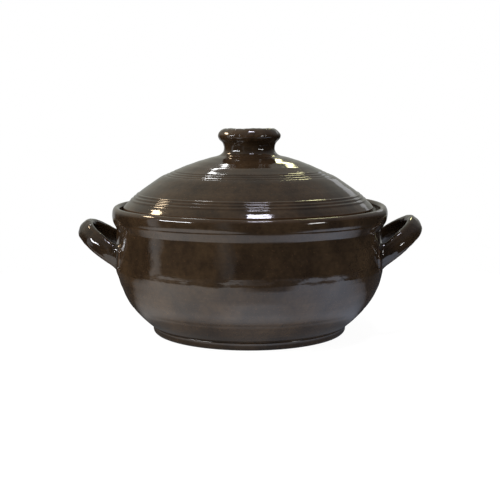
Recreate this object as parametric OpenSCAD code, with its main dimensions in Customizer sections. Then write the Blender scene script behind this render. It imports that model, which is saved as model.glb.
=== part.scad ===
// Clay cooking pot with a loose domed lid. The pot is a thrown wall on a floor slab and a foot ring,
// with two loop handles. The lid is a thrown dome with a knob above and a locating flange below.
// Sizes are in millimetres. The origin is the middle of the foot, +Z is up, +X points at the right handle.

/* [Pot] */
// Diameter over the rolled lip
rim_d = 240; // [225:1:300]
// Height of the pot to the top of its lip
pot_h = 110.5; // [90:0.5:140]
// Thickness of the thrown wall
wall_t = 7.5; // [5:0.5:9]
// Width of the rolled lip
lip_w = 7; // [5:0.5:9]
// How far the neck is drawn in under the lip
neck_in = 3; // [1:0.1:5]
// Depth of the neck below the top of the lip
neck_drop = 25; // [18:0.5:27]
// How far the belly is set in from the lip
belly_in = 1.7; // [-10:0.1:6]
// Height of the widest part of the belly
belly_h = 63; // [48:1:66]
// How full the lower wall is: the power of its curve
low_bow = 2.2; // [1.8:0.1:2.6]

/* [Foot and floor] */
// Diameter of the foot ring
foot_d = 172; // [140:1:180]
// Height of the foot ring
foot_h = 7; // [4:0.5:12]
// Width of the foot ring
foot_w = 14; // [8:0.5:24]
// Rounding of the foot's lower edge
foot_round = 3; // [1:0.5:3.5]
// How far the floor slab stands out over the foot ring
foot_step = 1; // [0:0.1:3]
// Thickness of the floor slab
floor_t = 8; // [5:0.5:11]
// Height of the turning line on the lower wall
line_h = 24; // [20:1:40]
// Width of the tool that cut the turning line
line_tool = 3; // [1:0.5:5]
// Depth of the turning line
line_depth = 0.4; // [0.1:0.1:1]

/* [Gallery] */
// Depth of the lid's ledge below the top of the lip
ledge_drop = 6.5; // [5:0.5:10]
// Width of the ledge
ledge_w = 10; // [8:0.5:13]
// Thickness of the ledge at its inner edge
ledge_t = 3.5; // [2:0.5:4]
// Gap between the edge of the lid and the lip
lid_play = 3.5; // [1:0.5:5]
// Gap between the lid's flange and the ledge
flange_play = 1.5; // [0.5:0.1:4]

/* [Lid] */
// Height of the lid's crown above the ledge
lid_rise = 50.5; // [42:0.5:62]
// Thickness of the dome
lid_t = 6.5; // [4:0.5:8]
// Fall of the dome beside the knob, in degrees
crown_fall = 13; // [6:0.5:16]
// Width of the shoulder between the dome and the edge
shoulder_w = 20; // [15:0.5:24]
// Height of the shoulder above the ledge
shoulder_h = 24; // [21:0.5:28]
// How far the shoulder's bend lies inside the edge
shoulder_tuck = 12; // [6:0.5:14]
// Height of the rolled edge
edge_h = 7; // [3.5:0.5:8]
// Rounding under the rolled edge
edge_round = 2; // [0.5:0.5:2.5]
// Height of the ridges on the shoulder
ridge_h = 0.5; // [0:0.1:1]
// Number of ridges on the shoulder
ridge_count = 3; // [1:1:4]
// How far the roll below the ridges stands out
roll_h = 0.2; // [0:0.1:1]
// Radius of the innermost incised ring
ring_r = 66; // [45:1:70]
// Spacing of the incised rings
ring_pitch = 3.5; // [2.5:0.5:5]
// Number of incised rings
ring_count = 3; // [1:1:4]
// Width of the tool that cut the rings
ring_tool = 1.8; // [1.4:0.1:2.4]
// Depth of the incised rings
ring_depth = 0.6; // [0.2:0.1:0.8]
// Height of the flange below the lid
flange_h = 7.5; // [5:0.5:14]
// Thickness of the flange
flange_t = 5; // [3:0.5:7]

/* [Knob] */
// Diameter of the knob's foot on the crown
knob_foot_d = 58; // [54:1:70]
// Diameter of the waist
knob_waist_d = 44.6; // [36:0.2:50]
// Diameter over the knob's lip
knob_d = 55; // [53:0.5:66]
// Height of the knob
knob_h = 24.6; // [22:0.2:32]
// Height of the waist above the crown
knob_waist_h = 7.5; // [5:0.5:8]
// Depth of the knob's lip below the knob's top, to its widest part
knob_lip_drop = 6.3; // [5.5:0.1:7]
// Half the height of the knob's lip
knob_lip_h = 4.4; // [3:0.1:5]
// Width of the flat ring round the knob's top
knob_top_w = 2; // [1:0.1:4]
// Depth of the hollow in the knob's top
knob_dish = 2.4; // [0.4:0.2:5]

/* [Handles] */
// Distance between the middles of a handle's two legs
handle_span = 72; // [60:1:90]
// Length of a leg from the wall to the bend
handle_leg = 5; // [0:0.5:15]
// Height of the roots on the wall
root_h = 69; // [60:0.5:74]
// Upward tilt of the loops, in degrees
handle_tilt = 36.5; // [25:0.5:45]
// Thickness of the grip, seen from above
grip_t = 10; // [8:0.5:14]
// Depth of the grip, square to its thickness
grip_h = 16.5; // [14.5:0.5:20]
// Radius of the clay pressed round each root
root_r = 10; // [10:0.5:16]

/* [Hidden] */
$fn = 128;
glaze = [0.20, 0.15, 0.11];
bare_clay = [0.42, 0.27, 0.19];
curve_steps = 10;
arc_step = 12;

// Radii and heights of the pot
lip_r = rim_d / 2;
lip_round = lip_w / 2;
neck_r = lip_r - neck_in;
neck_z = pot_h - neck_drop;
belly_r = lip_r - belly_in;
foot_r = foot_d / 2;
base_r = foot_r + foot_step;
floor_z = foot_h + floor_t;
ledge_z = pot_h - ledge_drop;
gallery_r = lip_r - lip_w;
mouth_r = gallery_r - ledge_w;

// Centre of the lip's roll, and the place on its outside where the flare of the neck runs into it
lip_lean = 14;
lip_centre = [lip_r - lip_round, pot_h - lip_round];
lip_start = lip_centre + lip_round * [cos(lip_lean), -sin(lip_lean)];
flare_bend = [neck_r, lip_start[1] - (lip_start[0] - neck_r) / tan(lip_lean)];

// Radii and heights of the lid
lid_r = gallery_r - lid_play;
crown_z = ledge_z + lid_rise;
seat_r = knob_foot_d / 2;
shoulder_r = lid_r - shoulder_w;
dome_run = shoulder_r - seat_r;
dome_bow = (lid_rise - shoulder_h - dome_run * tan(crown_fall)) / pow(dome_run, 2);
flange_r = mouth_r - flange_play;
flange_round = flange_t / 2;
flange_z = ledge_z - flange_h + flange_round;
hollow_r = flange_r - flange_t;

// Points on a curve from a to c that bends towards b, without its first point
function bend(a, b, c) =
    [for (i = [1:curve_steps])
        let (t = i / curve_steps) a * pow(1 - t, 2) + 2 * b * t * (1 - t) + c * t * t];

// Points on an arc of a circle, from one angle to another
function arc(centre, r, from, to) =
    let (steps = ceil(abs(to - from) / arc_step))
    [for (i = [0:steps]) let (a = from + (to - from) * i / steps) centre + r * [cos(a), sin(a)]];

// Evenly spaced numbers from low to high
function spread(low, high) = [for (i = [0:curve_steps]) low + (high - low) * i / curve_steps];

// Outside radius of the lower wall: a full curve that stands upright at the belly
function wall_r(z) = belly_r - (belly_r - base_r) * pow((belly_h - z) / (belly_h - foot_h), low_bow);

// Outside radius of the upper wall: a slack wave from the belly to the neck
function upper_r(z) =
    belly_r + (neck_r - belly_r) * (1 - cos(180 * (z - belly_h) / (neck_z - belly_h))) / 2;

// Outside of the wall from the floor slab up to the lip
outside = concat(
    [for (z = spread(floor_z, belly_h)) [wall_r(z), z]],
    [for (z = spread(belly_h, neck_z)) if (z > belly_h) [upper_r(z), z]],
    bend([neck_r, neck_z], flare_bend, lip_start));

// Inside radius of the lower wall, so that the wall keeps its thickness square to its slope
floor_slope = low_bow * (belly_r - base_r) / (belly_h - foot_h)
    * pow((belly_h - floor_z) / (belly_h - foot_h), low_bow - 1);
hold_r = belly_r - wall_t;
hold_floor_r = wall_r(floor_z) - wall_t * sqrt(1 + pow(floor_slope, 2));
function inside_r(z) = hold_r - (hold_r - hold_floor_r) * pow((belly_h - z) / (belly_h - floor_z), 2);

// Inside of the wall from under the ledge down to the floor slab
under_ledge = [mouth_r, ledge_z - ledge_t];
neck_hold = [neck_r - wall_t, neck_z];
inside = concat(
    [under_ledge],
    bend(under_ledge, [neck_hold[0], under_ledge[1]], neck_hold),
    [for (z = spread(belly_h, floor_z)) [inside_r(z), z]]);

// Height and steepness of the dome's upper face at a radius
function dome_z(r) = crown_z - (r - seat_r) * tan(crown_fall) - dome_bow * pow(r - seat_r, 2);
function dome_slope(r) = tan(crown_fall) + 2 * dome_bow * (r - seat_r);

// The shoulder falls from the dome to the edge, with throwing ridges half way down and a roll below
shoulder_bend_r = lid_r - shoulder_tuck;
shoulder_top = [shoulder_r, dome_z(shoulder_r)];
shoulder_fall = (shoulder_bend_r - shoulder_r) * dome_slope(shoulder_r);
shoulder_bend = [shoulder_bend_r, shoulder_top[1] - shoulder_fall];
shoulder_foot = [lid_r, ledge_z + edge_h];
ridges_from = 0.39;
ridges_to = 0.765;
plain_steps = 4;
ridge_steps = 8;
roll_steps = 12;
function shoulder_point(t) =
    shoulder_top * pow(1 - t, 2) + 2 * shoulder_bend * t * (1 - t) + shoulder_foot * t * t;
function shoulder_way(t) =
    (shoulder_bend - shoulder_top) * (1 - t) + (shoulder_foot - shoulder_bend) * t;
function outward(way) = [-way[1], way[0]] / norm(way);
function wave(t, waves) = (1 - cos(360 * waves * t)) / 2;
function swollen(t, swell) = shoulder_point(t) + swell * outward(shoulder_way(t));
function part_way(from, to, t) = from + (to - from) * t;
shoulder = concat(
    [for (i = [1:plain_steps - 1]) shoulder_point(ridges_from * i / plain_steps)],
    [for (i = [0:ridge_steps * ridge_count])
        let (t = i / ridge_steps / ridge_count)
            swollen(part_way(ridges_from, ridges_to, t), ridge_h * wave(t, ridge_count))],
    [for (i = [1:roll_steps])
        let (t = i / roll_steps)
            swollen(part_way(ridges_to, 1, t), roll_h * wave(t, 1))]);

// Under face of the dome, from the mouth of the hollow up to the crown
cove_r = shoulder_r - lid_t;
function under_z(r) = dome_z(r) - lid_t * sqrt(1 + pow(dome_slope(r), 2));
cove_top = [cove_r, under_z(cove_r)];
cove_bend = [hollow_r, cove_top[1] - (hollow_r - cove_r) * dome_slope(cove_r)];
underside = concat(
    bend([hollow_r, ledge_z], cove_bend, cove_top),
    [for (r = spread(cove_r, seat_r)) if (r < cove_r) [r, under_z(r)]]);

// A fine groove that a round-nosed tool leaves in a turned face, with the way that the face looks
module tool_mark(place, way, width, depth) {
    translate(place + way * (width / 2 - depth))
        circle(d = width);
}

module foot_ring() {
    color(glaze)
        rotate_extrude()
            polygon(concat(
                [[foot_r - foot_w, 0]],
                arc([foot_r - foot_round, foot_round], foot_round, -90, 0),
                [[foot_r, foot_h], [foot_r - foot_w, foot_h]]));
}

module floor_disc() {
    color(glaze)
        rotate_extrude()
            polygon(concat(
                [[0, foot_h]],
                [for (z = spread(foot_h, floor_z)) [wall_r(z), z]],
                [[0, floor_z]]));
}

module pot_wall() {
    color(glaze)
        rotate_extrude()
            difference() {
                polygon(concat(
                    outside,
                    arc(lip_centre, lip_round, -lip_lean, 180),
                    [[gallery_r, ledge_z], [mouth_r, ledge_z]],
                    inside));
                tool_mark([wall_r(line_h), line_h], [1, 0], line_tool, line_depth);
            }
}

// Everything inside the outer face of the wall, which cuts the handles to fit it
module turned_mass() {
    rotate_extrude()
        polygon(concat([[0, floor_z]], outside, [[0, lip_start[1]]]));
}

// Section of a grip: a strap of clay with round edges
module grip_section() {
    for (side = [-1, 1])
        translate([0, side * (grip_h - grip_t) / 2])
            circle(d = grip_t);
    square([grip_t, grip_h - grip_t], center = true);
}

// A loop lying flat: a half ring, two legs that run back into the wall, and clay pressed round the roots
module loop() {
    rotate([0, 0, -90])
        rotate_extrude(angle = 180)
            translate([handle_span / 2, 0])
                grip_section();
    for (side = [-1, 1])
        translate([0, side * handle_span / 2, 0]) {
            rotate([0, -90, 0])
                linear_extrude(height = handle_leg + grip_h)
                    rotate([0, 0, 90])
                        grip_section();
            translate([-handle_leg, 0, root_r - grip_h / 2])
                sphere(r = root_r);
        }
}

module handle() {
    root_x = sqrt(pow(belly_r, 2) - pow(handle_span / 2, 2));
    difference() {
        translate([root_x, 0, root_h])
            rotate([0, -handle_tilt, 0])
                translate([handle_leg, 0, 0])
                    loop();
        turned_mass();
    }
}

module handle_right() {
    color(glaze)
        handle();
}

module handle_left() {
    color(glaze)
        mirror([1, 0, 0])
            handle();
}

module lid_dome() {
    color(glaze)
        rotate_extrude()
            difference() {
                polygon(concat(
                    [[0, crown_z]],
                    [for (r = spread(seat_r, shoulder_r)) [r, dome_z(r)]],
                    shoulder,
                    arc([lid_r - edge_round, ledge_z + edge_round], edge_round, 0, -90),
                    [[hollow_r, ledge_z]],
                    underside,
                    [[0, crown_z - lid_t]]));
                for (i = [0:ring_count - 1])
                    let (r = ring_r + i * ring_pitch)
                        tool_mark([r, dome_z(r)], [0, 1], ring_tool, ring_depth);
            }
}

module lid_flange() {
    color(bare_clay)
        rotate_extrude()
            polygon(concat(
                [[hollow_r, ledge_z]],
                arc([flange_r - flange_round, flange_z], flange_round, 180, 360),
                [[flange_r, ledge_z]]));
}

module lid_knob() {
    top_z = crown_z + knob_h;
    waist_r = knob_waist_d / 2;
    waist = [waist_r, crown_z + knob_waist_h];
    lip_z = top_z - knob_lip_drop;
    // The lip swells from half way between the waist and its widest part, and back again
    swell_r = (waist_r + knob_d / 2) / 2;
    lip_low = [swell_r, lip_z - knob_lip_h];
    lip_high = [swell_r, lip_z + knob_lip_h];
    lip_bend = [knob_d - swell_r, lip_z];
    lip_rise = knob_lip_h / (lip_bend[0] - swell_r);
    waist_bend = [waist_r, lip_low[1] - (swell_r - waist_r) * lip_rise];
    top_bend = [swell_r - (top_z - lip_high[1]) / lip_rise, top_z];
    dish_r = top_bend[0] - knob_top_w;
    foot_bend = [waist_r, dome_z(waist_r)];
    color(glaze)
        rotate_extrude()
            polygon(concat(
                [[0, crown_z], [seat_r, crown_z]],
                bend([seat_r, crown_z], foot_bend, waist),
                bend(waist, waist_bend, lip_low),
                bend(lip_low, lip_bend, lip_high),
                bend(lip_high, top_bend, [dish_r, top_z]),
                bend([dish_r, top_z], [dish_r / 2, top_z - knob_dish], [0, top_z - knob_dish])));
}

foot_ring();
floor_disc();
pot_wall();
handle_left();
handle_right();
lid_dome();
lid_flange();
lid_knob();
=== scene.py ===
# %% [markdown]
# # A glazed clay cooking pot with a loose lid
# The pot is stoneware: thrown on a wheel, with two pulled loop handles, dipped in a dark iron glaze and
# fired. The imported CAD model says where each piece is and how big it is. Blender gives each piece the form
# and the skin that a potter's hands and a kiln leave, so each CAD node is replaced by a mesh of its own.

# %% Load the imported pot
import math

import bmesh
import bpy
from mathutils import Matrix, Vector


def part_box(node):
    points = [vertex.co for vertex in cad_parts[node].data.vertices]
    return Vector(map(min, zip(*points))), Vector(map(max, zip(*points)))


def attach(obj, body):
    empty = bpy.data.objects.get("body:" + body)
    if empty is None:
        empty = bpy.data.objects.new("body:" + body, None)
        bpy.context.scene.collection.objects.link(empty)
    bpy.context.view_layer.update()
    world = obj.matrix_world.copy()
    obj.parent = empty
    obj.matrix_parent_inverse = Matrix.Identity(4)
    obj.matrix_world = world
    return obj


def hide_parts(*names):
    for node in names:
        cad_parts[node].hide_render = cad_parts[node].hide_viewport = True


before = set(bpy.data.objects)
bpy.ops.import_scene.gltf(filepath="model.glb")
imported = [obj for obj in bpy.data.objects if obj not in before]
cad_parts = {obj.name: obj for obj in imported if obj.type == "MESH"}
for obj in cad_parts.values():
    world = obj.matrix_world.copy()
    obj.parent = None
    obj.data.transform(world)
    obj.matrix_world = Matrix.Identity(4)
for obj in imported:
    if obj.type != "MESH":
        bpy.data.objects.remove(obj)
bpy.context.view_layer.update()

MM = 0.001
print("the CAD model holds", ", ".join(sorted(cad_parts)))

# %% [markdown]
# ## A wheel
# Everything but the handles was turned, so it is the same all the way round. A stack of extruded circles
# would do, but a potter thinks in profiles: here a plane is merged to one point, the point is extruded along
# the profile, and a Screw modifier without any climb carries that line once round the Z axis. Doubles are
# merged before the normals are made consistent, because the first and the last line lie on each other.

# %% Draw a profile and turn it
wheel_steps = 240
wheel_crease = math.radians(40)
touch = 0.01 * MM


def spread(start, stop, step):
    """Evenly spaced numbers from start to stop, about a step apart."""
    count = max(1, round(abs(stop - start) / step))
    return [start + (stop - start) * i / count for i in range(count + 1)]


def bend(start, towards, stop, count):
    """Points on a curve from start to stop that bends towards a third point, without its first point."""
    ways = [i / count for i in range(1, count + 1)]
    return [tuple(a * (1 - t) ** 2 + 2 * b * t * (1 - t) + c * t * t for a, b, c in zip(start, towards, stop))
            for t in ways]


def arc(centre, radius, first, last, count):
    """Points on an arc of a circle from one angle to another, in degrees."""
    angles = [math.radians(first + (last - first) * i / count) for i in range(count + 1)]
    return [(centre[0] + radius * math.cos(a), centre[1] + radius * math.sin(a)) for a in angles]


def merge_doubles():
    """Merges, in edit mode, the points that lie on each other, and turns all the faces outwards."""
    bpy.ops.mesh.select_all(action="SELECT")
    bpy.ops.mesh.remove_doubles(threshold=touch)
    bpy.ops.mesh.normals_make_consistent(inside=False)


def turn(name, profile, steps=wheel_steps):
    """Draws a profile of (radius, height) points and carries it once round into a piece."""
    bpy.ops.object.select_all(action="DESELECT")
    bpy.ops.mesh.primitive_plane_add(size=MM)
    piece = bpy.context.object
    piece.name = name
    piece.data.name = name
    bpy.ops.object.mode_set(mode="EDIT")
    bpy.ops.mesh.merge(type="CENTER")
    places = [Vector((r, 0, z)) for r, z in profile]
    bpy.ops.transform.translate(value=places[0])
    for here, there in zip(places, places[1:]):
        bpy.ops.mesh.extrude_vertices_move(TRANSFORM_OT_translate={"value": there - here})
    bpy.ops.object.mode_set(mode="OBJECT")
    bpy.ops.object.modifier_add(type="SCREW")
    wheel = piece.modifiers[-1]
    wheel.steps = steps
    wheel.render_steps = steps
    bpy.ops.object.modifier_apply(modifier=wheel.name)
    bpy.ops.object.mode_set(mode="EDIT")
    merge_doubles()
    bpy.ops.object.mode_set(mode="OBJECT")
    bpy.ops.object.shade_smooth_by_angle(angle=wheel_crease)
    print(name, "has", len(piece.data.polygons), "faces, box", [round(x / MM, 1) for x in piece.dimensions])
    return piece


# %% [markdown]
# ## The wall
# The wall rises from the floor slab to its belly, is drawn in at the neck and flares into a tall lip with a
# rolled top. Inside the lip a ledge, the gallery, carries the lid. A traced curve could be turned as well,
# but here each stretch is a short formula, so the profile needs no table of points, and the main sizes come
# from the CAD nodes' boxes. Fingers leave slack rings, which are part of the form.

# %% The curve of the wall
wall_low, wall_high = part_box("pot_wall")
foot_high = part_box("foot_ring")[1]
hand_room = 0.35 * MM
lip_r = wall_high.y - hand_room
pot_h = wall_high.z - hand_room
floor_z = wall_low.z
foot_r = foot_high.y - hand_room
foot_h = foot_high.z
base_r = foot_r + 1 * MM
belly_r = lip_r - 1.7 * MM
belly_z = 63 * MM
low_bow = 2.2
neck_r = lip_r - 3 * MM
neck_z = pot_h - 18 * MM
line_z = 24 * MM
line_depth = 0.4 * MM
line_w = 1 * MM
wide_ring_h = 0.06 * MM
wide_pitch = 10.5 * MM
fine_ring_h = 0.022 * MM
fine_pitch = 4.3 * MM
fine_beat = 31 * MM


def finger_rings(place):
    """Slack rings from the fingers, two pitches on top of each other. The fine ones come and go."""
    wide = wide_ring_h * math.sin(math.tau * place / wide_pitch)
    fine = fine_ring_h * math.sin(math.tau * place / fine_pitch + 1) * math.sin(math.tau * place / fine_beat)
    return wide + fine


def wall_r(z):
    """Outside radius of the wall: a full curve up to the belly, then a slack wave to the neck."""
    if z < belly_z:
        return belly_r - (belly_r - base_r) * ((belly_z - z) / (belly_z - foot_h)) ** low_bow
    wave = (1 - math.cos(math.pi * (z - belly_z) / (neck_z - belly_z))) / 2
    return belly_r + (neck_r - belly_r) * wave


def outside_r(z):
    """The same with the finger rings and the turning line on the lower wall."""
    return wall_r(z) + finger_rings(z) - line_depth * math.exp(-((z - line_z) / line_w) ** 2)


print("the wall is", round(2 * belly_r / MM), "mm over the belly,", round(2 * lip_r / MM), "mm over the lip")

# %% The flare, the collar and the lip
lip_round = 3 * MM
lip_low = 28
soft_round = 8 * MM
collar_round = 23 * MM
collar_low = -6
collar_high = 10
flare_pull = 2.6 * MM
seam = 0.3 * MM
wall_step = 1 * MM


def from_end(points, radius, angle):
    """The centre of an arc that starts where the points end, at an angle in degrees."""
    start = math.radians(angle)
    return points[-1][0] - radius * math.cos(start), points[-1][1] - radius * math.sin(start)


collar_drop = (collar_round - soft_round) * math.sin(math.radians(collar_high))
collar_drop += (soft_round - lip_round) * math.sin(math.radians(lip_low)) + lip_round
collar = arc((lip_r - collar_round, pot_h - collar_drop), collar_round, collar_low, collar_high, count=10)
collar += arc(from_end(collar, soft_round, collar_high), soft_round, collar_high, lip_low, count=6)[1:]
lip_centre = from_end(collar, lip_round, lip_low)
flare = ((neck_r + collar[0][0]) / 2, (neck_z + collar[0][1]) / 2)
wall_heights = [floor_z, floor_z + seam] + spread(floor_z + 2 * seam, neck_z, wall_step)
outside = [(outside_r(z), z) for z in wall_heights]
outside += bend(outside[-1], (neck_r, flare[1] - flare_pull), flare, count=8)
outside += bend(flare, (collar[0][0], flare[1] + flare_pull), collar[0], count=8) + collar[1:]
print("the outside has", len(outside), "points")

# %% The gallery and the inside of the wall
gallery_r = lip_centre[0] - lip_round
ledge_w = 10 * MM
mouth_r = gallery_r - ledge_w
ledge_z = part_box("lid_dome")[0].z
ledge_t = 3.5 * MM
ledge_round = 1.2 * MM
corner_steps = 5
wall_t = 7.5 * MM
hold_r = belly_r - wall_t
hold_floor_r = 85.3 * MM
cove_top = floor_z + 5 * MM
cove_r = 77 * MM
inside_ring_h = 0.25 * MM
inside_pitch = 8 * MM


def inside_r(z):
    """Inside radius of the wall, with deeper finger rings than the outside."""
    rings = inside_ring_h * math.sin(math.tau * z / inside_pitch)
    if z < belly_z:
        return rings + hold_r - (hold_r - hold_floor_r) * ((belly_z - z) / (belly_z - floor_z)) ** 2
    return rings + hold_r + (neck_r - wall_t - hold_r) * (z - belly_z) / (neck_z - belly_z)


under_z = ledge_z - ledge_t
low_round = (mouth_r + ledge_round, under_z + ledge_round)
high_round = (mouth_r + ledge_round, ledge_z - ledge_round)
corner_round = (gallery_r - ledge_round, ledge_z + ledge_round)
gallery = arc(lip_centre, lip_round, lip_low, 180, count=16)[1:]
gallery += arc(corner_round, ledge_round, 0, -90, corner_steps)
gallery += arc(high_round, ledge_round, 90, 180, corner_steps)
gallery += arc(low_round, ledge_round, 180, 270, corner_steps)
gallery += bend(gallery[-1], (neck_r - wall_t, under_z), (inside_r(neck_z), neck_z), count=12)
hollow = [(inside_r(z), z) for z in spread(neck_z, cove_top, wall_step)][1:]
hollow += bend(hollow[-1], (hold_floor_r, floor_z), (cove_r, floor_z), count=8)
pot_wall = turn("thrown_wall", outside + gallery + hollow + outside[:1])

# %% [markdown]
# ## The give of soft clay
# A turned mesh is too true. In the kiln the pot sags and swells by a few tenths of a millimetre, and that is
# what makes its reflections swim. Sculpting would do it by hand. A Displace modifier with a Clouds texture
# does it evenly, and a vertex group lets the effect fade out where a piece meets its neighbour, so the joints
# stay shut. Without a texture the same modifier moves one place by a set amount: it hollows the belly at the
# lower left, slackens the collar, and pulls the lip up and out at places, as drying clay does.

# %% Let the wall waver
slack_heights = (floor_z + 1 * MM, 35 * MM, 80 * MM, ledge_z - 2 * MM)


def pick(piece):
    """Makes a piece the only one that is selected, and the active one."""
    bpy.ops.object.select_all(action="DESELECT")
    piece.select_set(True)
    bpy.context.view_layer.objects.active = piece


def push(piece, share, amount, direction="NORMAL", middle=0, texture=None):
    """Moves a piece's skin along its normals or an axis. Share gives each vertex its part of the amount."""
    pick(piece)
    group = piece.vertex_groups.new(name="share")
    for v in piece.data.vertices:
        group.add([v.index], share(v), "REPLACE")
    bpy.ops.object.modifier_add(type="DISPLACE")
    displace = piece.modifiers[-1]
    displace.direction = direction
    displace.strength = amount
    displace.mid_level = middle
    displace.texture = texture
    displace.texture_coords = "LOCAL"
    displace.vertex_group = group.name
    bpy.ops.object.modifier_apply(modifier=displace.name)
    piece.vertex_groups.clear()


def waver(piece, patch, height, share):
    """Pushes a piece's skin in and out over patches of a size."""
    clouds = bpy.data.textures.new(f"{piece.name}_{round(patch / MM)}mm", "CLOUDS")
    clouds.noise_scale = patch
    push(piece, share, height, middle=0.5, texture=clouds)


def fade(value, none, full):
    """0 at one value, 1 at another, and smooth between them."""
    t = min(1, max(0, (value - none) / (full - none)))
    return t * t * (3 - 2 * t)


def hump(value, start, full_from, full_to, stop):
    """0 at the start and at the stop, 1 between the two middle values, and smooth on both slopes."""
    return fade(value, start, full_from) * fade(value, stop, full_to)


def wall_share(v):
    """The wall gives most at the belly, and not at all at the floor, the ledge or the lip."""
    return hump(v.co.z, *slack_heights)


waver(pot_wall, patch=45 * MM, height=1.1 * MM, share=wall_share)
waver(pot_wall, patch=18 * MM, height=0.65 * MM, share=wall_share)
print("the wall wavers within", [round(x / MM, 2) for x in pot_wall.dimensions])

# %% Where the clay has given way
# Angles round the pot, counted from its right side
right = 0
back_right = math.radians(38)
back_left = math.radians(155)
left = math.pi
front_left = math.radians(-125)
front = -math.pi / 2
front_full = math.radians(-82)
front_right = math.radians(-45)
# Heights at which a push starts, is full, is still full and ends
hollow_heights = (26 * MM, 44 * MM, 48 * MM, 58 * MM)
flare_heights = (85 * MM, 94 * MM, 97 * MM, 106 * MM)
collar_z = collar[0][1]
collar_top = 108 * MM
ledge_room = 0.6 * MM
skin_t = 3 * MM
# Cosines of the angle from the front where the collar starts to be slack and is quite slack
beside_from = 0.3
beside_full = 0.65
# How narrow the place at the front is where the collar stays full
front_narrow = 40


def reach(v):
    """How far a vertex lies from the axis."""
    return math.hypot(v.co.x, v.co.y)


def facing(v, angle):
    """1 on the side of the pot that faces an angle, falling to 0 a quarter turn from it."""
    return max(0, math.cos(math.atan2(v.co.y, v.co.x) - angle))


def lip_share(v, angle, narrow=2):
    """Full on one side of the lip and nothing on the ledge, so that the lid still sits flat."""
    from_z = neck_z if reach(v) > lip_centre[0] else ledge_z + ledge_room
    return facing(v, angle) ** narrow * fade(v.co.z, from_z, lip_centre[1])


def hollow_share(v):
    """A slack place on the lower left of the belly, below the handle."""
    outer = reach(v) > wall_r(v.co.z) - skin_t
    return outer * facing(v, left) ** 2 * hump(v.co.z, *hollow_heights)


def flare_share(v):
    """The flare starts lower between the front and the handles."""
    outer = reach(v) > gallery_r
    between = math.sin(2 * math.atan2(v.co.y, v.co.x)) ** 2
    return outer * between * hump(v.co.z, *flare_heights)


def collar_share(v):
    """The collar is slack on both sides of the front, so that the flare runs on towards the lip."""
    outer = reach(v) > gallery_r
    beside = fade(facing(v, front), beside_from, beside_full) * (1 - facing(v, front_full) ** front_narrow)
    rising = (v.co.z - neck_z) / (collar_z - neck_z)
    falling = (collar_top - v.co.z) / (collar_top - collar_z)
    return outer * beside * max(0, min(rising, falling))


print("the collar starts", round(collar_z / MM, 1), "mm up")

# %% Pull the wall and the lip out of true
left_hollow = 1.1 * MM
collar_in = 1.2 * MM
flare_out = 0.5 * MM
front_left_out = 1 * MM
front_right_out = 0.6 * MM
back_right_lift = 3.2 * MM
back_left_lift = 1.6 * MM
right_out = 1.7 * MM
left_out = 0.6 * MM
pull_narrow = 9

push(pot_wall, hollow_share, -left_hollow)
push(pot_wall, collar_share, -collar_in)
push(pot_wall, flare_share, flare_out)
push(pot_wall, lambda v: lip_share(v, front_left, pull_narrow), front_left_out)
push(pot_wall, lambda v: lip_share(v, front_right, pull_narrow), front_right_out)
push(pot_wall, lambda v: lip_share(v, back_right), back_right_lift, "Z")
push(pot_wall, lambda v: lip_share(v, back_left), back_left_lift, "Z")
push(pot_wall, lambda v: lip_share(v, right), right_out, "X")
push(pot_wall, lambda v: lip_share(v, left), -left_out, "X")
print("the wall is now", round(pot_wall.dimensions.z / MM, 1), "mm high")

# %% [markdown]
# ## The floor slab and the foot
# The floor is a slab of clay that the wall was raised from, and its edge carries the wall's curve down to the
# foot. The foot ring was turned when the clay was leather hard, so its edges are crisp but slightly rounded.
# Bevelled cylinders would come close. Turned profiles allow a swirl on the floor and a different rounding at
# each edge, and the slab's edge takes its radius from the wall's formula.

# %% Turn the floor slab and the foot ring
slab_low, slab_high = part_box("floor_disc")
slab_round = 0.8 * MM
slab_edge = (outside_r(slab_low.z) - slab_round, slab_low.z + slab_round)
slab_side_z = slab_low.z + 1.2 * MM
swirl_depth = 0.35 * MM
swirl_pitch = 9 * MM
slab = [(0, slab_low.z)]
slab += arc(slab_edge, slab_round, -90, 0, corner_steps)
slab += [(outside_r(z), z) for z in spread(slab_side_z, slab_high.z - seam, step=0.8 * MM)]
slab += [(outside_r(slab_high.z), slab_high.z)]
slab += [(r, slab_high.z - swirl_depth * (1 - math.cos(math.tau * r / swirl_pitch)) / 2)
         for r in spread(cove_r - cove_r % swirl_pitch, 0, step=0.75 * MM)]
floor_slab = turn("floor_slab", slab)

foot_w = 14 * MM
foot_in = foot_r - foot_w
foot_round = 3 * MM
foot_soft = 1 * MM
ring = arc((foot_in + foot_soft, foot_soft), foot_soft, 180, 270, corner_steps)
ring += arc((foot_r - foot_round, foot_round), foot_round, -90, 0, count=8)
ring += arc((foot_r - foot_soft, foot_h - foot_soft), foot_soft, 0, 90, corner_steps)
ring += [(foot_in, foot_h)]
foot_ring = turn("turned_foot", ring + ring[:1])

# %% [markdown]
# ## The handles
# Each handle is a strap of clay, bent to a loop and pressed onto the wall. A curve with a bevel would give a
# clean tube, but a strap has a section of its own: here a plane with bevelled corners and crowned sides is
# that section, Spin bends it through half a turn, and extruding its ends makes the legs. A Subdivision
# Surface then gives the mesh enough points to take the dents of the fingers. The left loop is a copy, set a
# little lower and closer than the right one, since no two are alike.

# %% Draw the section of the strap
loop_r = 36 * MM
strap_t = 10 * MM
strap_h = 16.5 * MM
strap_crown = 0.9 * MM
strap_flat_t = strap_t - 2 * strap_crown
strap_round = 3.8 * MM
half_flat = strap_h / 2 - strap_round
crown_rows = 4


def select(piece, test):
    """Selects, in edit mode, the vertices whose place passes a test."""
    mesh = bmesh.from_edit_mesh(piece.data)
    for v in mesh.verts:
        v.select_set(test(v.co))
    mesh.select_flush_mode()
    bmesh.update_edit_mesh(piece.data)


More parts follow.
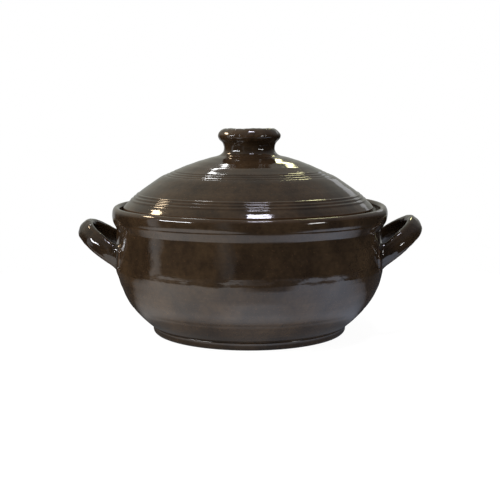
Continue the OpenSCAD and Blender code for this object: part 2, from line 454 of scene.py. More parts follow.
bpy.ops.object.select_all(action="DESELECT")
bpy.ops.mesh.primitive_plane_add(size=1, rotation=(math.radians(90), 0, math.radians(90)))
handle_right = bpy.context.object
handle_right.name = "handle_right_loop"
handle_right.data.name = handle_right.name
bpy.ops.object.transform_apply(location=True, rotation=True, scale=True)
bpy.ops.object.mode_set(mode="EDIT")
bpy.ops.transform.resize(value=(1, strap_flat_t, strap_h))
bpy.ops.mesh.bevel(offset=strap_round, segments=6, affect="VERTICES")
bpy.ops.mesh.select_all(action="SELECT")
bpy.ops.mesh.delete(type="ONLY_FACE")
select(handle_right, lambda place: abs(place.y) > strap_flat_t / 2 - touch)
bpy.ops.mesh.subdivide(number_cuts=2 * crown_rows - 1)
for row in range(crown_rows):
    row_z = row / crown_rows * half_flat
    crowned = 1 + 2 * strap_crown / strap_flat_t * (1 - (row_z / half_flat) ** 2)
    select(handle_right, lambda place: abs(abs(place.z) - row_z) < touch and abs(place.y) > strap_flat_t / 4)
    bpy.ops.transform.resize(value=(1, crowned, 1))
print("the strap is", round(strap_t / MM, 1), "mm by", round(strap_h / MM, 1), "mm, and still in edit mode")

# %% Bend the strap to a loop
loop_steps = 60
leg_steps = 18
leg_reach = 24 * MM
leg_step = leg_reach / leg_steps

bpy.ops.mesh.select_all(action="SELECT")
bpy.ops.transform.translate(value=(0, loop_r, 0))
bpy.ops.mesh.spin(steps=loop_steps, angle=math.pi, center=(0, 0, 0), axis=(0, 0, 1))
for step in range(leg_steps):
    reached = -step * leg_reach / leg_steps
    select(handle_right, lambda place: place.x < reached + touch)
    bpy.ops.mesh.extrude_region_move(TRANSFORM_OT_translate={"value": (-leg_step, 0, 0)})
for side in (-1, 1):
    select(handle_right, lambda place: place.x < touch - leg_reach and place.y * side > 0)
    bpy.ops.mesh.edge_face_add()
merge_doubles()
bpy.ops.object.mode_set(mode="OBJECT")
bpy.ops.object.modifier_add(type="SUBSURF")
finer = handle_right.modifiers[-1]
finer.levels = 1
finer.render_levels = 1
bpy.ops.object.modifier_apply(modifier=finer.name)
print("the loop is", [round(x / MM, 1) for x in handle_right.dimensions], "mm before it is tilted")

# %% Tilt each loop and set it on the wall
root_x = math.sqrt(belly_r ** 2 - loop_r ** 2)
root_z = 69.4 * MM


def set_loop(loop, side, tilt, leg):
    """Tilts a loop by degrees and sets it on the wall: side is 1 on the right and -1 on the left."""
    pick(loop)
    slope = math.radians(tilt)
    loop.rotation_euler = (0, -slope, 0 if side > 0 else math.pi)
    loop.location = (side * (root_x + leg * math.cos(slope)), 0, root_z + leg * math.sin(slope))
    bpy.ops.object.transform_apply(location=True, rotation=True, scale=True)
    print(loop.name, "reaches", round(max(side * v.co.x for v in loop.data.vertices) / MM, 1), "mm out")


handle_left = handle_right.copy()
handle_left.data = handle_right.data.copy()
handle_left.name = "handle_left_loop"
handle_left.data.name = handle_left.name
bpy.context.scene.collection.objects.link(handle_left)
set_loop(handle_right, side=1, tilt=37.3, leg=6.1 * MM)
set_loop(handle_left, side=-1, tilt=34.5, leg=3 * MM)

# %% [markdown]
# ## Pressing the roots on
# Where a leg meets the wall the potter presses the clay out, above and beside the leg more than below it. A
# sculpted blend would do. Here a vertex group that grows towards the wall drives a Displace modifier, so that
# all four roots follow one rule, and finer clouds dent the clay there. A Boolean then cuts off what reaches
# into the wall, with a turned cutter just below the wall's face.

# %% Press the roots and cut them to the wall
fillet_r = 6 * MM
under_part = 0.25
facing_down = -0.5
facing_up = 0.2
dent_reach = 12 * MM
dent_least = 0.5
root_sink = 1.5 * MM
root_crease = math.radians(50)
cutter_steps = 96


def off_wall(v):
    """How far a vertex lies outside the wall."""
    return reach(v) - wall_r(v.co.z)


def root_share(v):
    """Grows towards the wall in a fillet, which is thin under the leg."""
    rest = fillet_r - max(0, min(fillet_r, off_wall(v)))
    upper = under_part + (1 - under_part) * fade(v.normal.z, facing_down, facing_up)
    return upper * (1 - math.sqrt(max(0, 1 - (rest / fillet_r) ** 2)))


def dent_share(v):
    """The fingers dent the clay most at the roots."""
    return dent_least + (1 - dent_least) * fade(off_wall(v), dent_reach, 0)


def cut_roots(piece, cutter):
    """Cuts off what reaches into the wall, and fans the many-sided faces that the cut leaves."""
    pick(piece)
    bpy.ops.object.modifier_add(type="BOOLEAN")
    cut = piece.modifiers[-1]
    cut.operation = "DIFFERENCE"
    cut.solver = "EXACT"
    cut.object = cutter
    bpy.ops.object.modifier_apply(modifier=cut.name)
    bpy.ops.object.mode_set(mode="EDIT")
    merge_doubles()
    bpy.ops.mesh.select_mode(type="FACE")
    bpy.ops.mesh.select_face_by_sides(number=4, type="GREATER", extend=False)
    bpy.ops.mesh.poke()
    bpy.ops.mesh.select_mode(type="VERT")
    bpy.ops.object.mode_set(mode="OBJECT")
    bpy.ops.object.shade_smooth_by_angle(angle=root_crease)


cutter_line = [(0, floor_z)]
cutter_line += [(wall_r(z) - root_sink, z) for z in spread(floor_z, neck_z, step=2 * MM)]
cutter_line += [(neck_r - root_sink, ledge_z), (0, ledge_z)]
root_cutter = turn("root_cutter", cutter_line, cutter_steps)
for handle in (handle_right, handle_left):
    push(handle, root_share, fillet_r)
    waver(handle, patch=13 * MM, height=1 * MM, share=lambda v: 1)
    waver(handle, patch=7 * MM, height=0.6 * MM, share=dent_share)
    cut_roots(handle, root_cutter)
    print(handle.name, "has", len(handle.data.polygons), "faces")
bpy.data.objects.remove(root_cutter)

# %% [markdown]
# ## The lid
# The lid is a thrown dome with three incised rings, a ridged shoulder and a rolled edge, which rests on the
# gallery. It is hollow, so its profile runs out over the dome, round the edge and back under it. The rings
# are cut into the profile itself, because a groove that only a bump map draws would not catch a light on its
# lip.

# %% The dome of the lid
lid_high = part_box("lid_dome")[1]
knob_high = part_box("lid_knob")[1]
lid_r = lid_high.y
crown_z = lid_high.z
seat_r = knob_high.y
shoulder_r = lid_r - 20 * MM
shoulder_z = ledge_z + 24 * MM
crown_fall = math.tan(math.radians(13))
dome_run = shoulder_r - seat_r
dome_bow = (crown_z - shoulder_z - dome_run * crown_fall) / dome_run ** 2
dome_full = 0.7 * MM
full_from = shoulder_r - 24 * MM
ring_places = [66 * MM, 69.5 * MM, 73 * MM]
ring_w = 0.85 * MM
ring_depth = 0.32 * MM
ring_burr = 0.08 * MM
burr_off = 1.6
burr_sharp = 2.2
ring_room = 3 * MM


def dome_z(r):
    """Height of the dome's upper face, which is a little fuller just inside the shoulder."""
    turned = math.tau * max(0, r - full_from) / (shoulder_r - full_from)
    full = dome_full * (1 - math.cos(turned)) / 2
    return crown_z - (r - seat_r) * crown_fall - dome_bow * (r - seat_r) ** 2 + full


def dome_slope(r):
    """How steeply the dome falls."""
    return crown_fall + 2 * dome_bow * (r - seat_r)


def incised(r):
    """The three grooves, with the burr that the tool raises on both sides."""
    cuts = 0
    for place in ring_places:
        off = abs(r - place) / ring_w
        burr = ring_burr * math.exp(-((off - burr_off) * burr_sharp) ** 2)
        cuts += burr - ring_depth * math.exp(-(off ** 2))
    return cuts


first_ring = ring_places[0] - ring_room
last_ring = ring_places[-1] + ring_room
radii = spread(seat_r, first_ring, step=1.2 * MM)
radii += spread(first_ring, last_ring, step=0.2 * MM)[1:]
radii += spread(last_ring, shoulder_r, step=1 * MM)[1:]
dome = [(r, dome_z(r) + incised(r) + finger_rings(r)) for r in radii]
print("the dome falls", round((crown_z - dome_z(shoulder_r)) / MM, 1), "mm from the crown to the shoulder")

# %% The shoulder and the edge
edge_h = 7 * MM
edge_round = 2 * MM
ridge_h = 0.5 * MM
ridge_count = 3
ridges_from = 0.39
ridges_to = 0.765
roll_h = 0.15 * MM
shoulder_steps = 110
tuck_r = lid_r - 12 * MM


def shoulder_swell(t):
    """How far the ridges, and the roll below them, stand out along the shoulder."""
    if t < ridges_from:
        return 0
    if t < ridges_to:
        turned = math.tau * ridge_count * (t - ridges_from) / (ridges_to - ridges_from)
        return ridge_h * (1 - math.cos(turned)) / 2
    return roll_h * (1 - math.cos(math.tau * (t - ridges_to) / (1 - ridges_to))) / 2


shoulder_bend = (tuck_r, dome_z(shoulder_r) - (tuck_r - shoulder_r) * dome_slope(shoulder_r))
plain = bend((shoulder_r, dome_z(shoulder_r)), shoulder_bend, (lid_r, ledge_z + edge_h), shoulder_steps)
shoulder = []
for i, (here, there) in enumerate(zip(plain, plain[1:] + plain[-1:])):
    along = Vector((there[0] - here[0], there[1] - here[1]))
    outwards = Vector((-along.y, along.x)).normalized() if along.length else Vector((1, 0))
    swell = shoulder_swell((i + 1) / shoulder_steps)
    shoulder.append((here[0] + swell * outwards.x, here[1] + swell * outwards.y))
edge = arc((lid_r - edge_round, ledge_z + edge_round), edge_round, 0, -90, count=8)
print("the shoulder has", ridge_count, "ridges, and the lid is", round(2 * lid_r / MM, 1), "mm across")

# %% The hollow under the lid
flange_low, flange_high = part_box("lid_flange")
flange_w = 5 * MM
lid_t = 6.5 * MM
hollow_r = flange_high.y - flange_w
inner_r = shoulder_r - lid_t
under_rings = 4


def under_dome_z(r):
    """Height of the dome's under face, which follows the upper one, with deeper finger rings."""
    return dome_z(r) - lid_t * math.hypot(1, dome_slope(r)) + under_rings * finger_rings(r)


rise = (hollow_r, under_dome_z(inner_r) - (hollow_r - inner_r) * dome_slope(inner_r))
under = [(hollow_r, ledge_z)]
under += bend((hollow_r, ledge_z), rise, (inner_r, under_dome_z(inner_r)), count=16)
under += [(r, under_dome_z(r)) for r in spread(inner_r, seat_r, step=1.5 * MM)][1:]
lid_dome = turn("lid_dome_shell", [(0, crown_z)] + dome + shoulder + edge + under + [(0, crown_z - lid_t)])

# %% [markdown]
# ## The flange and the knob
# The flange is a ring of bare clay that keeps the lid from sliding out of the gallery. The knob was thrown by
# itself and luted to the crown: a foot that runs out on the dome, a waist for two fingers, a full lip and a
# shallow dish. Both are turned like the rest, and the knob wavers more, because it was shaped by fingertips.

# %% Turn the flange and the knob
flange_round = (flange_high.y - hollow_r) / 2
flange_centre = (hollow_r + flange_round, flange_low.z + flange_round)
band = [(hollow_r, ledge_z)]
band += arc(flange_centre, flange_round, 180, 360, count=16)
band += [(flange_high.y, ledge_z)]
lid_flange = turn("lid_flange_ring", band + band[:1])

knob_steps = 128
knob_room = 0.6 * MM
knob_top = knob_high.z - knob_room
waist_r = 22.3 * MM
waist_z = crown_z + 7.5 * MM
knob_lip_r = 27.5 * MM
knob_lip_z = knob_top - 6.3 * MM
knob_lip_h = 4.4 * MM
knob_flat = 2 * MM
knob_dish = 2.4 * MM
swell_r = (waist_r + knob_lip_r) / 2
under_lip = (swell_r, knob_lip_z - knob_lip_h)
over_lip = (swell_r, knob_lip_z + knob_lip_h)
beyond_lip = (2 * knob_lip_r - swell_r, knob_lip_z)
lip_lean = knob_lip_h / (beyond_lip[0] - swell_r)
top_bend = (swell_r - (knob_top - over_lip[1]) / lip_lean, knob_top)
waist_bend = (waist_r, under_lip[1] - (swell_r - waist_r) * lip_lean)
dish_r = top_bend[0] - knob_flat
grip = [(0, crown_z), (seat_r, crown_z)]
grip += bend((seat_r, crown_z), (waist_r, dome_z(waist_r)), (waist_r, waist_z), count=16)
grip += bend((waist_r, waist_z), waist_bend, under_lip, count=10)
grip += bend(under_lip, beyond_lip, over_lip, count=16)
grip += bend(over_lip, top_bend, (dish_r, knob_top), count=10)
grip += bend((dish_r, knob_top), (dish_r / 2, knob_top - knob_dish), (0, knob_top - knob_dish), count=16)
lid_knob = turn("knob_turned", grip, knob_steps)

# %% Let the lid and the knob waver
seat_hold = 1 * MM
lid_slack_z = 118 * MM
lid_lean = 0.8 * MM
lean_from = 30 * MM
lean_full = 60 * MM


def lid_share(v):
    """The dome gives everywhere but on its seat."""
    return fade(v.co.z, ledge_z + seat_hold, lid_slack_z)


def knob_share(v):
    """The knob gives from its waist upwards."""
    return fade(v.co.z, crown_z, waist_z)


waver(lid_dome, patch=40 * MM, height=0.8 * MM, share=lid_share)
waver(lid_knob, patch=11 * MM, height=1.5 * MM, share=knob_share)
waver(lid_knob, patch=5 * MM, height=0.4 * MM, share=knob_share)
push(lid_dome, lambda v: fade(reach(v), lean_from, lean_full), -lid_lean, "X")
print("the lid stands", round((knob_top - ledge_z) / MM, 1), "mm above the ledge")

# %% [markdown]
# ## The glaze
# The finish is a tenmoku-like iron glaze: glass with so much iron in it that it looks almost black where it
# is thick and rust brown where it is thin. It is a smooth dielectric, so nearly all that shows on it is
# reflection. It could be painted as an image. Nodes in object coordinates need no unwrapping, and the scale
# of each pattern is a real size.

# %% Colours and nodes
def linear(hex_code):
    """A colour as Blender counts light, from its sRGB hex code."""
    parts = [int(hex_code[i:i + 2], 16) / 255 for i in (1, 3, 5)]
    return [p / 12.92 if p <= 0.04045 else ((p + 0.055) / 1.055) ** 2.4 for p in parts] + [1]


def add(tree, kind, settings=None, links=None):
    """Adds one shader node, with its settings, its input values and the sockets that feed it."""
    made = tree.nodes.new("ShaderNode" + kind)
    for key, value in (settings or {}).items():
        if isinstance(key, str) and hasattr(made, key):
            setattr(made, key, value)
        else:
            made.inputs[key].default_value = value
    for key, socket in (links or {}).items():
        tree.links.new(socket, made.inputs[key])
    return made


def new_material(name):
    """A material with an empty node tree."""
    material = bpy.data.materials.new(name)
    material.use_nodes = True
    material.node_tree.nodes.clear()
    return material


# %% The colour of the glaze
mottle_size = 26 * MM
grain_size = 3.5 * MM
line_size = 2.4 * MM
line_drift = 0.04
speck_size = 3.2 * MM
foot_edge_z = 17 * MM
above_foot_z = 20 * MM


def thrown_place(tree, place, split):
    """Coordinates that hardly change on the way round, so that a pattern in them runs round as lines."""
    flat = add(tree, "VectorMath", {"operation": "MULTIPLY", 1: (1, 1, 0)}, {0: place})
    off_axis = add(tree, "VectorMath", {"operation": "LENGTH"}, {0: flat.outputs["Vector"]})
    drift = add(tree, "Math", {"operation": "MULTIPLY", 1: line_drift}, {0: split.outputs["X"]})
    joined = add(tree, "CombineXYZ", None, {"X": off_axis.outputs["Value"], "Y": drift.outputs["Value"],
                                            "Z": split.outputs["Z"]})
    return joined.outputs["Vector"]


def glaze_colour(tree, place, height, mottle, lines, thick, thin):
    """Mottled brown black, rusty where the glaze runs thin over an edge and near black where it pools."""
    # Patches of thicker and thinner glaze, with finer clouds in them
    patches = add(tree, "MapRange", {"From Min": 0.34, "From Max": 0.66}, {"Value": mottle})
    broad = add(tree, "Mix", {"data_type": "RGBA", 6: linear(thick), 7: linear(thin)},
                {0: patches.outputs["Result"]})
    grain = add(tree, "TexNoise", {"Scale": 1 / grain_size, "Detail": 3, "Roughness": 0.6}, {"Vector": place})
    clouds = add(tree, "MapRange", {"From Min": 0.42, "From Max": 0.75, "To Max": 0.45},
                 {"Value": grain.outputs["Fac"]})

    # Throwing lines: streaks that run round the piece
    streaks = add(tree, "MapRange", {"From Min": 0.52, "From Max": 0.75, "To Max": 0.35}, {"Value": lines})

    # Rust on edges above the foot, black in hollows
    shape = add(tree, "NewGeometry").outputs["Pointiness"]
    above_foot = add(tree, "MapRange", {"From Min": foot_edge_z, "From Max": above_foot_z, "To Max": 0.45},
                     {"Value": height})
    edges = add(tree, "MapRange", {"From Min": 0.505, "From Max": 0.54}, {"Value": shape})
    rust = add(tree, "Math", {"operation": "MULTIPLY"},
               {0: edges.outputs["Result"], 1: above_foot.outputs["Result"]})
    hollows = add(tree, "MapRange", {"From Min": 0.495, "From Max": 0.46, "To Max": 0.5}, {"Value": shape})

    # Specks of iron that bleed through
    speck = add(tree, "TexVoronoi", {"Scale": 1 / speck_size}, {"Vector": place})
    specks = add(tree, "MapRange", {"From Min": 0.16, "From Max": 0.1, "To Max": 0.4},
                 {"Value": speck.outputs["Distance"]})

    colour = broad.outputs[2]
    for part, hex_code in [(clouds, "#20170f"), (streaks, "#241b13"), (rust, "#5f4631"),
                           (hollows, "#17110c"), (specks, "#614530")]:
        colour = add(tree, "Mix", {"data_type": "RGBA", 7: linear(hex_code)},
                     {0: part.outputs[0], 6: colour}).outputs[2]
    return colour


# %% The iron glaze
peel_size = 6 * MM
peel_h = 0.09 * MM
line_h = 0.05 * MM
clay_dark = "#6e4f3b"
clay_light = "#96725a"
clay_dullness = 0.85


def iron_glaze(name, thrown, thick, thin):
    """Stoneware under a dipped iron glaze. On thrown pieces the fingers' lines show through as rings."""
    material = new_material(name)
    tree = material.node_tree
    place = add(tree, "TexCoord").outputs["Object"]
    split = add(tree, "SeparateXYZ", None, {"Vector": place})
    along = thrown_place(tree, place, split) if thrown else place
    mottle = add(tree, "TexNoise", {"Scale": 1 / mottle_size, "Detail": 5, "Roughness": 0.62},
                 {"Vector": place}).outputs["Fac"]
    lines = add(tree, "TexNoise", {"Scale": 1 / line_size, "Detail": 3}, {"Vector": along}).outputs["Fac"]
    glazed = glaze_colour(tree, place, split.outputs["Z"], mottle, lines, thick, thin)

    # The skin of the glass: a slow swell like orange peel over the lines
    peel = add(tree, "TexNoise", {"Scale": 1 / peel_size, "Detail": 2}, {"Vector": place})
    swell = add(tree, "Bump", {"Strength": 1, "Distance": peel_h}, {"Height": peel.outputs["Fac"]})
    skin = add(tree, "Bump", {"Strength": 1, "Distance": line_h},
               {"Height": lines, "Normal": swell.outputs["Normal"]})
    gloss = add(tree, "MapRange", {"From Min": 0.3, "From Max": 0.7, "To Min": 0.05, "To Max": 0.1},
                {"Value": mottle})

    # Where a sponge took the glaze off, the clay under it shows, matt and warm
    wiped = add(tree, "Attribute", {"attribute_name": "wiped"}).outputs["Fac"]
    clay = add(tree, "Mix", {"data_type": "RGBA", 6: linear(clay_dark), 7: linear(clay_light)}, {0: mottle})
    colour = add(tree, "Mix", {"data_type": "RGBA"}, {0: wiped, 6: glazed, 7: clay.outputs[2]})
    dullness = add(tree, "Mix", {"data_type": "FLOAT", 3: clay_dullness},
                   {0: wiped, 2: gloss.outputs["Result"]})
    shader = add(tree, "BsdfPrincipled", {"IOR": 1.5},
                 {"Base Color": colour.outputs[2], "Roughness": dullness.outputs[0],
                  "Normal": skin.outputs["Normal"]})
    add(tree, "OutputMaterial", None, {"Surface": shader.outputs["BSDF"]})
    return material


thrown_glaze = iron_glaze("stoneware_iron_glaze_dipped_over_throwing", True, "#2a1f15", "#453524")
# The straps take a darker copy of the same glaze: painted shade that darkens the handles all over
strap_glaze_with_painted_shade = iron_glaze("stoneware_iron_glaze_dipped_over_pulled_strap", False, "#1e150e", "#342719")
print("glazes:", thrown_glaze.name, "and", strap_glaze_with_painted_shade.name)

# %% [markdown]
# ## The bare clay
# The flange is wiped free of glaze, because lid and pot would fuse in the kiln. What shows is fired
# stoneware: sandy, matt and warm. A darker glaze without gloss would look like paint, so the clay is a
# material of its own, with grog specks and a bump from the same grit.

# %% The wiped stoneware
cloud_size = 20 * MM
grit_size = 0.9 * MM
grit_h = 0.15 * MM


def bare_stoneware(name):
    """Fired stoneware, wiped: a matt, sandy body with grog specks."""
    material = new_material(name)
    tree = material.node_tree
    place = add(tree, "TexCoord").outputs["Object"]
    cloud = add(tree, "TexNoise", {"Scale": 1 / cloud_size, "Detail": 4}, {"Vector": place})
    body = add(tree, "Mix", {"data_type": "RGBA", 6: linear(clay_dark), 7: linear(clay_light)},
               {0: cloud.outputs["Fac"]})
    grit = add(tree, "TexNoise", {"Scale": 1 / grit_size, "Detail": 3}, {"Vector": place})
    grog = add(tree, "MapRange", {"From Min": 0.62, "From Max": 0.7, "To Max": 0.6},
               {"Value": grit.outputs["Fac"]})
    sandy = add(tree, "Mix", {"data_type": "RGBA", 7: linear("#3d2b20")},
                {0: grog.outputs["Result"], 6: body.outputs[2]})
    bump = add(tree, "Bump", {"Strength": 1, "Distance": grit_h}, {"Height": grit.outputs["Fac"]})
    shader = add(tree, "BsdfPrincipled", {"IOR": 1.45, "Roughness": clay_dullness},
                 {"Base Color": sandy.outputs[2], "Normal": bump.outputs["Normal"]})
    add(tree, "OutputMaterial", None, {"Surface": shader.outputs["BSDF"]})
    return material


wiped_clay = bare_stoneware("stoneware_bare_wiped")
print("bare clay:", wiped_clay.name)

# %% [markdown]
# ## Handing the pieces over
# The foot's sole, the ledge and the lid's seat were wiped too. They are parts of glazed pieces, so a number
# on each vertex tells the glaze where to show the clay. Then each mesh stands for one CAD node, rides on that
# node's body and takes its finish.

# %% Mark the wiped places
sole_h = 0.4 * MM
seat_h = 0.1 * MM


def wipe(piece, test):
    """Marks the vertices whose radius and height pass a test as wiped free of glaze."""
    marks = piece.data.attributes.new("wiped", "FLOAT", "POINT")
    for v, mark in zip(piece.data.vertices, marks.data):
        mark.value = 1.0 if test(reach(v), v.co.z) else 0.0
    print(piece.name, "is wiped at", sum(m.value > 0 for m in marks.data), "points")


wipe(foot_ring, lambda r, z: z < sole_h)
wipe(pot_wall, lambda r, z: abs(z - ledge_z) < seat_h and mouth_r < r < gallery_r)
wipe(lid_dome, lambda r, z: z < ledge_z + seat_h)

# %% Stand in, ride and finish
pieces = [
    (pot_wall, "pot_wall", "pot", "pot_glaze", thrown_glaze),
    (floor_slab, "floor_disc", "pot", "pot_glaze", thrown_glaze),
    (foot_ring, "foot_ring", "pot", "pot_glaze", thrown_glaze),
    (handle_right, "handle_right", "pot", "handle_glaze", strap_glaze_with_painted_shade),
    (handle_left, "handle_left", "pot", "handle_glaze", strap_glaze_with_painted_shade),
    (lid_dome, "lid_dome", "lid", "lid_glaze", thrown_glaze),
    (lid_knob, "lid_knob", "lid", "lid_glaze", thrown_glaze),
    (lid_flange, "lid_flange", "lid", "bare_clay", wiped_clay),
]
for piece, node, body, slot, finish in pieces:
    piece.data.materials.clear()
    piece.data.materials.append(finish)
    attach(piece, body)
    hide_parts(node)
print(len(pieces), "pieces stand for", len(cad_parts), "CAD nodes")

# %% [markdown]
# ## The table and the light
# The pot stands on a pale table in a studio that is light above and behind it and dark in front of it, so
# that the belly shows a dark band between the table and the neck. A picture of a room could light it all.
# Here the world gives the room, by height and by the way round, since each part of it can then be moved by
# itself. Small bright soft boxes give the highlights, because a glaze shows each lamp as a sharp patch. The
# table that the glaze reflects is painted light: it emits light with a painted shadow of the pot and painted
# patches of light and shade.

# %% The table
table_r = 420 * MM
table_corners = 128
bpy.ops.object.select_all(action="DESELECT")
bpy.ops.mesh.primitive_circle_add(vertices=table_corners, radius=table_r, fill_type="NGON")
table = bpy.context.object
table.name = "pale_table"
print("the table is", round(2 * table_r / MM), "mm across")

# %% The painted light on the table
# Where the table's painted shadow of the pot, its painted pool of light and its painted shadow further out
# lie
painted_pot_shadow_at = (-1 * MM, -18 * MM, 0)
painted_light_patch_at = (5 * MM, -122 * MM, 0)
painted_shadow_patch_at = (80 * MM, -310 * MM, 0)
laminate = new_material("pale_laminate_emitting_painted_light")
top = laminate.node_tree
where = add(top, "TexCoord").outputs["Object"]
axes = add(top, "SeparateXYZ", None, {"Vector": where})
# In the glaze the table shows a painted light: lit in front of the pot and behind it, and dim beside it
lit_front = add(top, "MapRange", {"From Min": -110 * MM, "From Max": 15 * MM, "To Min": 1, "To Max": 0.03},
                {"Value": axes.outputs["Y"]})
lit_back = add(top, "MapRange", {"From Min": 95 * MM, "From Max": 150 * MM, "To Max": 0.8},
               {"Value": axes.outputs["Y"]})
aside = add(top, "Math", {"operation": "ABSOLUTE"}, {0: axes.outputs["X"]})
back_middle = add(top, "MapRange", {"From Min": 125 * MM, "From Max": 95 * MM},
                  {"Value": aside.outputs["Value"]})
lit = add(top, "Math", {"operation": "MULTIPLY_ADD"},
          {0: lit_back.outputs["Result"], 1: back_middle.outputs["Result"], 2: lit_front.outputs["Result"]})
narrowed = add(top, "VectorMath", {"operation": "MULTIPLY", 1: (0.92, 1, 1)}, {0: where}).outputs["Vector"]
from_middle = add(top, "VectorMath", {"operation": "LENGTH"}, {0: narrowed})
from_painted_pot_shadow = add(top, "VectorMath", {"operation": "DISTANCE", 1: painted_pot_shadow_at}, {0: narrowed})
from_painted_light_patch = add(top, "VectorMath", {"operation": "DISTANCE", 1: painted_light_patch_at}, {0: where})
from_painted_shadow_patch = add(top, "VectorMath", {"operation": "DISTANCE", 1: painted_shadow_patch_at}, {0: where})
# The painted light is brighter to both sides, ends in a dim rim, has a painted shadow of the pot close to the
# foot, and has a painted pool of light just in front and a painted shadow further out. Each row says what is
# measured, from and to how many millimetres, what the light is multiplied by at the two ends, and how it runs
# between them.
changes = [
    (axes.outputs["X"], -160, 20, 1.55, 1.1, "LINEAR"),
    (axes.outputs["X"], 30, 160, 1, 1.5, "LINEAR"),
    (from_middle.outputs["Value"], 358, 322, 0.1, 1, "SMOOTHSTEP"),
    (from_painted_pot_shadow.outputs["Value"], 82, 101, 0.26, 1, "SMOOTHSTEP"),
    (from_painted_light_patch.outputs["Value"], 55, 20, 1, 1.45, "SMOOTHSTEP"),
    (from_painted_shadow_patch.outputs["Value"], 50, 130, 0.25, 1, "SMOOTHSTEP"),
]
painted_glow = lit.outputs["Value"]
for measure, start, stop, first, last, run in changes:
    change = add(top, "MapRange", {"interpolation_type": run, "From Min": start * MM, "From Max": stop * MM,
                                   "To Min": first, "To Max": last}, {"Value": measure})
    painted_glow = add(top, "Math", {"operation": "MULTIPLY"},
               {0: painted_glow, 1: change.outputs["Result"]}).outputs["Value"]
print("the light on the table changes in", len(changes), "ways")

# %% The table's two faces
# The glaze sees that painted light, cooler on the right, as light that the table emits, and the camera sees a
# plain pale laminate
cool_part = add(top, "MapRange", {"From Min": -100 * MM, "From Max": 100 * MM}, {"Value": axes.outputs["X"]})
tint = add(top, "Mix", {"data_type": "RGBA", 6: linear("#fffdfb"), 7: linear("#e2ebff")},
           {0: cool_part.outputs["Result"]})
# Light that the table emits for the glaze only: painted light with painted shadows
painted_table_light = add(top, "Emission", None, {"Color": tint.outputs[2], "Strength": painted_glow})
shown = add(top, "BsdfPrincipled",
            {"Base Color": linear("#686766"), "Roughness": 0.9, "Specular IOR Level": 0,
             "Emission Color": linear("#ffffff"), "Emission Strength": 0.96})
to_camera = add(top, "LightPath").outputs["Is Camera Ray"]
surface = add(top, "MixShader", None,
              {0: to_camera, 1: painted_table_light.outputs["Emission"], 2: shown.outputs["BSDF"]})
add(top, "OutputMaterial", None, {"Surface": surface.outputs["Shader"]})
table.data.materials.append(laminate)
print("the table's material is", laminate.name)

# %% The room
world = bpy.data.worlds.new("studio")
bpy.context.scene.world = world
world.use_nodes = True
sky = world.node_tree
sky.nodes.clear()
sky_way = add(sky, "TexCoord").outputs["Generated"]
# Bearing in degrees, with 0 towards the camera and 90 to the right, and the grey of the wall there
wall_greys = [(-180, 0.3), (-152, 0.4), (-146, 0.01), (-93, 0.01), (-89, 1), (-81, 0.8), (-76, 0.08),
              (-30, 0.05), (-19, 0.4), (-11, 0.05), (85, 0.03), (150, 0.005), (160, 0.4), (180, 0.3)]
quarter = add(sky, "Mapping", {"Rotation": (0, 0, math.radians(90))}, {"Vector": sky_way})
round_way = add(sky, "TexGradient", {"gradient_type": "RADIAL"}, {"Vector": quarter.outputs["Vector"]})
walls = add(sky, "ValToRGB", None, {"Fac": round_way.outputs["Fac"]})
stops = walls.color_ramp.elements
for bearing, grey in wall_greys[1:-1]:
    stops.new(bearing / 360 + 0.5)
for stop, (bearing, grey) in zip(stops, wall_greys):
    stop.color = (grey, grey, grey, 1)
# The ceiling reaches lower at the back than in front, and is darker on the right
lightness = add(sky, "VectorMath", {"operation": "DOT_PRODUCT", 1: (0, 0.35, 0.94)}, {0: sky_way})
overhead = add(sky, "MapRange", {"interpolation_type": "SMOOTHSTEP", "From Min": 0.15, "From Max": 0.55},
               {"Value": lightness.outputs["Value"]})
across = add(sky, "VectorMath", {"operation": "DOT_PRODUCT", 1: (1, -0.7, 0)}, {0: sky_way})
right_part = add(sky, "MapRange", {"From Min": -0.7, "From Max": 0.7}, {"Value": across.outputs["Value"]})
ceiling = add(sky, "Mix", {"data_type": "RGBA", 6: linear("#adafa6"), 7: linear("#7b7b80")},
              {0: right_part.outputs["Result"]})
mixed = add(sky, "Mix", {"data_type": "RGBA"},
            {0: overhead.outputs["Result"], 6: walls.outputs["Color"], 7: ceiling.outputs[2]})
# The camera sees a white backdrop instead
room = add(sky, "Background", {"Strength": 1}, {"Color": mixed.outputs[2]})
backdrop = add(sky, "Background", {"Color": linear("#ffffff"), "Strength": 1})
seen = add(sky, "LightPath")
both = add(sky, "MixShader", None, {0: seen.outputs["Is Camera Ray"], 1: room.outputs["Background"],
                                    2: backdrop.outputs["Background"]})
add(sky, "OutputWorld", None, {"Surface": both.outputs["Shader"]})
print("the walls of the room have", len(wall_greys), "greys on the way round")

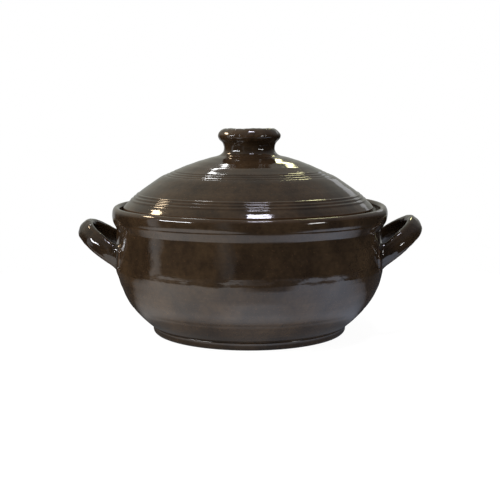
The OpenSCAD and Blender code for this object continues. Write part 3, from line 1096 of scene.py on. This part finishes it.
# %% The lamps
lamp_aim = Vector((0, 0, 120 * MM))
lamp_far = 1.5


def lamp(name, bearing, height, width, depth, brightness, hex_code):
    """A soft box: its bearing and height in degrees, its size in metres and the brightness of its face."""
    around = math.radians(bearing)
    up = math.radians(height)
    lamp_way = Vector((math.sin(around) * math.cos(up), -math.cos(around) * math.cos(up), math.sin(up)))
    bpy.ops.object.light_add(type="AREA", location=lamp_aim + lamp_way * lamp_far,
                             rotation=lamp_way.to_track_quat("Z", "Y").to_euler())
    made = bpy.context.object
    made.name = name
    made.data.shape = "RECTANGLE"
    made.data.size = width
    made.data.size_y = depth
    made.data.energy = brightness * math.pi * width * depth
    made.data.color = linear(hex_code)[:3]


# Name, bearing, height, width, depth, brightness and colour
lamps = [
    ("ceiling_lamp", 25, 76, 0.32, 0.2, 42, "#efedff"),
    ("warm_lamp_left", -118, 40, 0.4, 0.15, 26, "#ffe3bd"),
    ("window_left", -61, 19, 0.8, 0.12, 44, "#f8faff"),
    ("window_right", 53, 9, 0.36, 0.12, 22, "#ffffff"),
    ("window_behind_left", -166, 42, 0.13, 0.09, 16, "#ffffff"),
    ("window_behind_right", 168, 31, 0.18, 0.14, 13, "#fbf6bc"),
    ("window_far_right", 153, 17, 0.45, 0.2, 0.6, "#f4f6ff"),
]
for values in lamps:
    lamp(*values)
print(len(lamps), "soft boxes stand", lamp_far, "m away")

# %% [markdown]
# ## The camera
# The photograph was taken from a little above the lid with a normal lens, far enough away that the rim's
# ellipse is shallow. A camera placed by eye would come near. This one was fitted to the ellipses of the foot,
# the lip and the lid, so its numbers aren't round.

# %% Camera and colours
camera_place = (0.57 * MM, -850 * MM, 189.2 * MM)
camera_down = 7.9
camera_focus = 69.48
sensor_w = 36
bpy.ops.object.camera_add(location=camera_place, rotation=(math.radians(90 - camera_down), 0, 0))
camera = bpy.context.object
camera.data.lens = camera_focus
camera.data.sensor_width = sensor_w
bpy.context.scene.camera = camera
bpy.context.scene.view_settings.view_transform = "Standard"
print("the camera looks down by", camera_down, "degrees")
